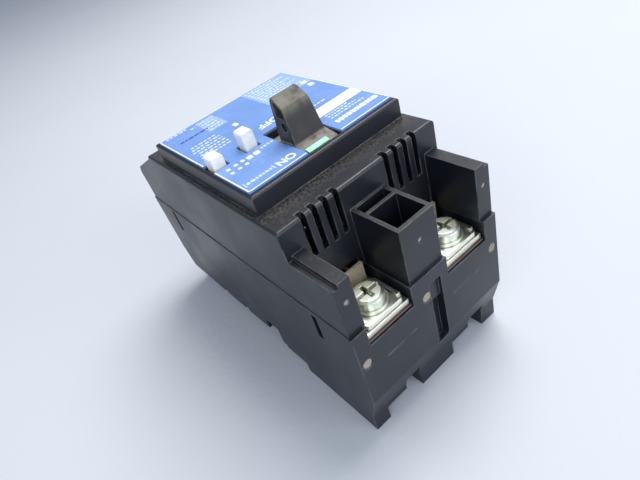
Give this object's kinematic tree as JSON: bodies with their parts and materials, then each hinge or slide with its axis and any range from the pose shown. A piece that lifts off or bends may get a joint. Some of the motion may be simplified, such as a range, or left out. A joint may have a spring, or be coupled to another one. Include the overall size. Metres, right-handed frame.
{
  "type": "moulded case circuit breaker",
  "caption": "Black moulded-case breaker with a toggle handle in a blue nameplate, push buttons, recessed screw terminals at both ends and a rail slot across the back.",
  "frame": {"origin": "centre of the flat mounting face, midway along and across the case", "axes": "+Z out of the mounting face towards the nameplate and handle; +Y from the line end to the load end; +X across the poles"},
  "size_m": [0.05, 0.104, 0.0785],
  "materials": {
    "case_black": "satin moulded thermoset, dusty, edges rubbed pale",
    "handle_black": "matt moulded plastic, worn grey-brown at the top",
    "label_blue": "printed plate with a low gloss",
    "spring_steel": "drawn wire",
    "zinc_steel": "bright zinc plating",
    "soft_iron": "plain stamped iron",
    "plated_strip": "bright plating with a green-yellow passivation",
    "plated_clamp": "bright plating with a green-yellow passivation",
    "plated_screw": "bright plating with a green-yellow passivation",
    "silver_contact": "silver alloy",
    "copper": null,
    "brass": "drawn brass",
    "phenolic_brown": "compression-moulded phenolic",
    "fibre": "vulcanised fibre board",
    "indicator_green": "moulded pale green",
    "button_white": "white moulded plastic",
    "zct_blue": "moulded toroid case",
    "board_green": "solder-masked laminate",
    "component_black": "moulded component bodies",
    "solenoid_tape": "steel frame and taped winding"
  },
  "bodies": {
    "case": {"base_housing": "case_black", "cover_housing": "case_black", "nameplate": "label_blue", "cover_screws": "zinc_steel", "din_slider_spring": "spring_steel", "line_conductor_left": "plated_strip", "line_conductor_right": "plated_strip", "load_conductor_left": "plated_strip", "load_conductor_right": "plated_strip", "fixed_contacts": "silver_contact", "arc_grids_left": "soft_iron", "arc_grids_right": "soft_iron", "arc_cheeks_left": "fibre", "arc_cheeks_right": "fibre", "arc_vent_plates": "fibre", "mech_frame": "zinc_steel", "mech_pins": "zinc_steel", "trip_coil_left": "copper", "trip_coil_right": "copper", "dashpots": "brass", "magnet_yokes": "soft_iron", "braids": "copper", "zct_ring": "zct_blue", "circuit_board": "board_green", "board_components": "component_black", "trip_solenoid": "solenoid_tape", "test_button_spring": "spring_steel", "test_contacts": "brass", "leak_indicator_spring": "spring_steel"},
    "handle": {"handle": "handle_black", "handle_indicator": "indicator_green", "handle_yoke": "zinc_steel", "main_springs": "spring_steel"},
    "crossbar": {"crossbar": "phenolic_brown", "contact_arm_left": "copper", "contact_arm_right": "copper", "moving_contacts": "silver_contact", "contact_springs": "spring_steel"},
    "cradle": {"cradle": "zinc_steel"},
    "upper_links": {"upper_links": "zinc_steel", "toggle_pin": "zinc_steel"},
    "lower_link": {"lower_link": "zinc_steel"},
    "trip_bar": {"trip_bar": "phenolic_brown", "trip_latch": "zinc_steel"},
    "armature_left": {"armature_left": "soft_iron"},
    "armature_right": {"armature_right": "soft_iron"},
    "solenoid_plunger": {"solenoid_plunger": "zinc_steel"},
    "test_button": {"test_button": "button_white"},
    "leak_indicator": {"leak_indicator": "button_white"},
    "din_slider": {"din_slider": "case_black"},
    "line_clamp_left": {"line_clamp_left": "plated_clamp"},
    "line_screw_left": {"line_screw_left": "plated_screw"},
    "line_clamp_right": {"line_clamp_right": "plated_clamp"},
    "line_screw_right": {"line_screw_right": "plated_screw"},
    "load_clamp_left": {"load_clamp_left": "plated_clamp"},
    "load_screw_left": {"load_screw_left": "plated_screw"},
    "load_clamp_right": {"load_clamp_right": "plated_clamp"},
    "load_screw_right": {"load_screw_right": "plated_screw"}
  },
  "joints": [
    {"name": "handle_swing", "type": "hinge", "parent": "case", "child": "handle", "pos_m": [0, -0.0174, 0.044], "axis": [1, 0, 0], "range_deg": [-15, 0]},
    {"name": "contacts_swing", "type": "hinge", "parent": "case", "child": "crossbar", "pos_m": [0, -0.002, 0.021], "axis": [1, 0, 0], "range_deg": [-13, 0]},
    {"name": "cradle_lift", "type": "hinge", "parent": "case", "child": "cradle", "pos_m": [0, -0.0215, 0.04], "axis": [1, 0, 0], "range_deg": [0, 3]},
    {"name": "upper_link_swing", "type": "hinge", "parent": "cradle", "child": "upper_links", "pos_m": [0, -0.005, 0.0405], "axis": [1, 0, 0], "range_deg": [-6, 1]},
    {"name": "lower_link_swing", "type": "hinge", "parent": "crossbar", "child": "lower_link", "pos_m": [0, -0.0055, 0.024], "axis": [1, 0, 0], "range_deg": [-1, 26]},
    {"name": "trip_bar_turn", "type": "hinge", "parent": "case", "child": "trip_bar", "pos_m": [0, 0.013, 0.04], "axis": [1, 0, 0], "range_deg": [-10, 0], "stiffness_Nm_per_rad": 0.02, "springref_deg": 5.73},
    {"name": "armature_left_pull", "type": "hinge", "parent": "case", "child": "armature_left", "pos_m": [-0.0134, 0.0155, 0.033], "axis": [1, 0, 0], "range_deg": [0, 6], "stiffness_Nm_per_rad": 0.01, "springref_deg": -5.73},
    {"name": "armature_right_pull", "type": "hinge", "parent": "case", "child": "armature_right", "pos_m": [0.0134, 0.0155, 0.033], "axis": [1, 0, 0], "range_deg": [0, 6], "stiffness_Nm_per_rad": 0.01, "springref_deg": -5.73},
    {"name": "plunger_slide", "type": "slide", "parent": "case", "child": "solenoid_plunger", "axis": [0, 1, 0], "range_m": [0, 0.0015]},
    {"name": "test_button_press", "type": "slide", "parent": "case", "child": "test_button", "axis": [0, 0, -1], "range_m": [0, 0.002], "stiffness_N_per_m": 300, "springref_m": -0.002, "deforming": ["test_button_spring"]},
    {"name": "leak_indicator_reset", "type": "slide", "parent": "case", "child": "leak_indicator", "axis": [0, 0, -1], "range_m": [0, 0.002], "stiffness_N_per_m": 300, "springref_m": -0.002, "deforming": ["leak_indicator_spring"]},
    {"name": "din_slider_pull", "type": "slide", "parent": "case", "child": "din_slider", "axis": [0, 1, 0], "range_m": [0, 0.004], "stiffness_N_per_m": 800, "springref_m": -0.002, "deforming": ["din_slider_spring"]},
    {"name": "line_screw_left_turn", "type": "hinge", "parent": "line_clamp_left", "child": "line_screw_left", "pos_m": [-0.0134, -0.0454, 0.038], "axis": [0, 0, 1], "range_deg": [0, 720]},
    {"name": "line_clamp_left_lift", "type": "slide", "parent": "case", "child": "line_clamp_left", "axis": [0, 0, 1], "range_m": [0, 0.0016]},
    {"name": "line_screw_right_turn", "type": "hinge", "parent": "line_clamp_right", "child": "line_screw_right", "pos_m": [0.0134, -0.0454, 0.038], "axis": [0, 0, 1], "range_deg": [0, 720]},
    {"name": "line_clamp_right_lift", "type": "slide", "parent": "case", "child": "line_clamp_right", "axis": [0, 0, 1], "range_m": [0, 0.0016]},
    {"name": "load_screw_left_turn", "type": "hinge", "parent": "load_clamp_left", "child": "load_screw_left", "pos_m": [-0.0134, 0.0454, 0.038], "axis": [0, 0, 1], "range_deg": [0, 720]},
    {"name": "load_clamp_left_lift", "type": "slide", "parent": "case", "child": "load_clamp_left", "axis": [0, 0, 1], "range_m": [0, 0.0016]},
    {"name": "load_screw_right_turn", "type": "hinge", "parent": "load_clamp_right", "child": "load_screw_right", "pos_m": [0.0134, 0.0454, 0.038], "axis": [0, 0, 1], "range_deg": [0, 720]},
    {"name": "load_clamp_right_lift", "type": "slide", "parent": "case", "child": "load_clamp_right", "axis": [0, 0, 1], "range_m": [0, 0.0016]}
  ],
  "couplings": [
    {"joint": "contacts_swing", "follows": "handle_swing", "ratio": 0.8667},
    {"joint": "upper_link_swing", "follows": "handle_swing", "ratio": 0.3337},
    {"joint": "lower_link_swing", "follows": "handle_swing", "ratio": -1.69},
    {"joint": "line_screw_left_turn", "follows": "line_clamp_left_lift", "rad_per_m": 7854},
    {"joint": "line_screw_right_turn", "follows": "line_clamp_right_lift", "rad_per_m": 7854},
    {"joint": "load_screw_left_turn", "follows": "load_clamp_left_lift", "rad_per_m": 7854},
    {"joint": "load_screw_right_turn", "follows": "load_clamp_right_lift", "rad_per_m": 7854}
  ]
}
